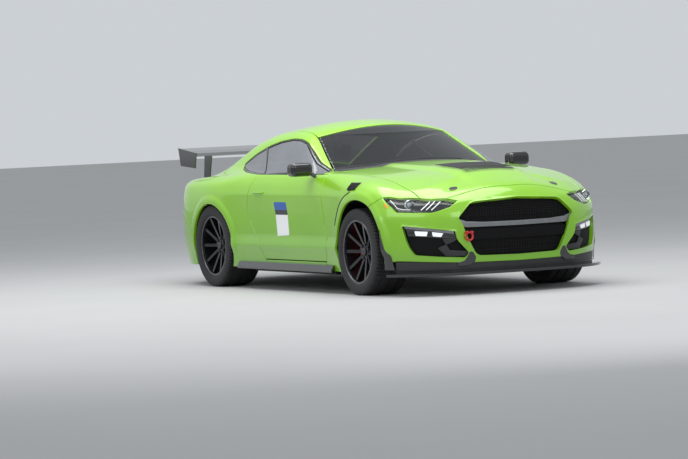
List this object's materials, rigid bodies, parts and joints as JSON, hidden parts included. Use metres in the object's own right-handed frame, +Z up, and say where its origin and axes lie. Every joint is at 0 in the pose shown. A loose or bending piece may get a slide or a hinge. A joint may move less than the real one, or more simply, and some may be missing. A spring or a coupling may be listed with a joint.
{
  "type": "drag racing coupe",
  "caption": "Two-door fastback drag racing coupe with turning wheels, steered front axle, hinged doors, bonnet and boot lid, and a rear wing.",
  "frame": {"origin": "on the ground under the middle of the car", "axes": "+X forward, +Y to the car's left, +Z up"},
  "size_m": [4.813, 2.2, 1.3748],
  "materials": {
    "green_paint": "gloss clear-coated lime green",
    "black_gloss": "gloss black",
    "black_plastic": "satin black moulded plastic",
    "tyre_rubber": "matt black rubber",
    "rim_metal": "dark satin paint with a machined lip",
    "clear_glass": "clear tinted glass",
    "lamp_lens": "clear polycarbonate over a dark housing",
    "tail_lens": "deep red lens",
    "grille_black": "black mesh",
    "steel_dark": "dark coated steel",
    "cast_metal": "cast metal",
    "pipe_steel": "brushed stainless steel",
    "trim_black": "soft-touch dark trim",
    "seat_cloth": "black leather and suede",
    "red_metal": "red paint"
  },
  "bodies": {
    "body": {"side_panels": "green_paint", "roof_panel": "green_paint", "deck_panel": "green_paint", "front_fenders": "green_paint", "front_bumper": "green_paint", "headlamps": "lamp_lens", "grille": "grille_black", "front_splitter": "black_plastic", "cowl_panel": "black_plastic", "windshield": "clear_glass", "rear_window": "clear_glass", "quarter_windows": "clear_glass", "side_skirts": "black_plastic", "rear_bumper": "green_paint", "rear_diffuser": "black_plastic", "tail_lamps": "tail_lens", "front_suspension": "steel_dark", "rear_suspension": "steel_dark", "exhaust": "pipe_steel", "engine": "cast_metal", "driveline": "cast_metal", "floor_pan": "steel_dark", "front_structure": "steel_dark", "boot_floor": "steel_dark", "wheel_liners": "trim_black", "dashboard": "trim_black", "steering_wheel": "trim_black", "front_seats": "seat_cloth", "rear_seat": "seat_cloth", "tow_hook": "red_metal"},
    "bonnet": {"bonnet": "green_paint", "bonnet_vent": "black_plastic"},
    "boot_lid": {"boot_lid": "green_paint", "tail_panel": "black_gloss", "rear_wing": "black_gloss"},
    "door_left": {"door_left": "green_paint", "door_glass_left": "clear_glass", "mirror_left": "black_gloss"},
    "door_right": {"door_right": "green_paint", "door_glass_right": "clear_glass", "mirror_right": "black_gloss"},
    "knuckle_front_left": {"knuckle_front_left": "cast_metal"},
    "knuckle_front_right": {"knuckle_front_right": "cast_metal"},
    "wheel_front_left": {"tyre_front_left": "tyre_rubber", "rim_front_left": "rim_metal"},
    "wheel_front_right": {"tyre_front_right": "tyre_rubber", "rim_front_right": "rim_metal"},
    "wheel_rear_left": {"tyre_rear_left": "tyre_rubber", "rim_rear_left": "rim_metal"},
    "wheel_rear_right": {"tyre_rear_right": "tyre_rubber", "rim_rear_right": "rim_metal"}
  },
  "joints": [
    {"name": "door_left_hinge", "type": "hinge", "parent": "body", "child": "door_left", "pos_m": [0.741, 0.82, 0.6], "axis": [0, 0, -1], "range_deg": [0, 65]},
    {"name": "door_right_hinge", "type": "hinge", "parent": "body", "child": "door_right", "pos_m": [0.741, -0.82, 0.6], "axis": [0, 0, 1], "range_deg": [0, 65]},
    {"name": "bonnet_hinge", "type": "hinge", "parent": "body", "child": "bonnet", "pos_m": [0.85, 0, 0.957], "axis": [0, -1, 0], "range_deg": [0, 50]},
    {"name": "boot_lid_hinge", "type": "hinge", "parent": "body", "child": "boot_lid", "pos_m": [-1.7835, 0, 0.95], "axis": [0, 1, 0], "range_deg": [0, 70]},
    {"name": "steer_left", "type": "hinge", "parent": "body", "child": "knuckle_front_left", "pos_m": [1.4565, 0.72, 0.3455], "axis": [0, 0, 1], "range_deg": [-35, 35]},
    {"name": "steer_right", "type": "hinge", "parent": "body", "child": "knuckle_front_right", "pos_m": [1.4565, -0.72, 0.3455], "axis": [0, 0, 1], "range_deg": [-35, 35]},
    {"name": "spin_front_left", "type": "hinge", "parent": "knuckle_front_left", "child": "wheel_front_left", "pos_m": [1.4565, 0.805, 0.3455], "axis": [0, 1, 0], "continuous": true},
    {"name": "spin_front_right", "type": "hinge", "parent": "knuckle_front_right", "child": "wheel_front_right", "pos_m": [1.4565, -0.805, 0.3455], "axis": [0, 1, 0], "continuous": true},
    {"name": "spin_rear_left", "type": "hinge", "parent": "body", "child": "wheel_rear_left", "pos_m": [-1.2635, 0.808, 0.3485], "axis": [0, 1, 0], "continuous": true},
    {"name": "spin_rear_right", "type": "hinge", "parent": "body", "child": "wheel_rear_right", "pos_m": [-1.2635, -0.808, 0.3485], "axis": [0, 1, 0], "continuous": true}
  ],
  "couplings": [
    {"joint": "steer_right", "follows": "steer_left", "ratio": 1}
  ]
}
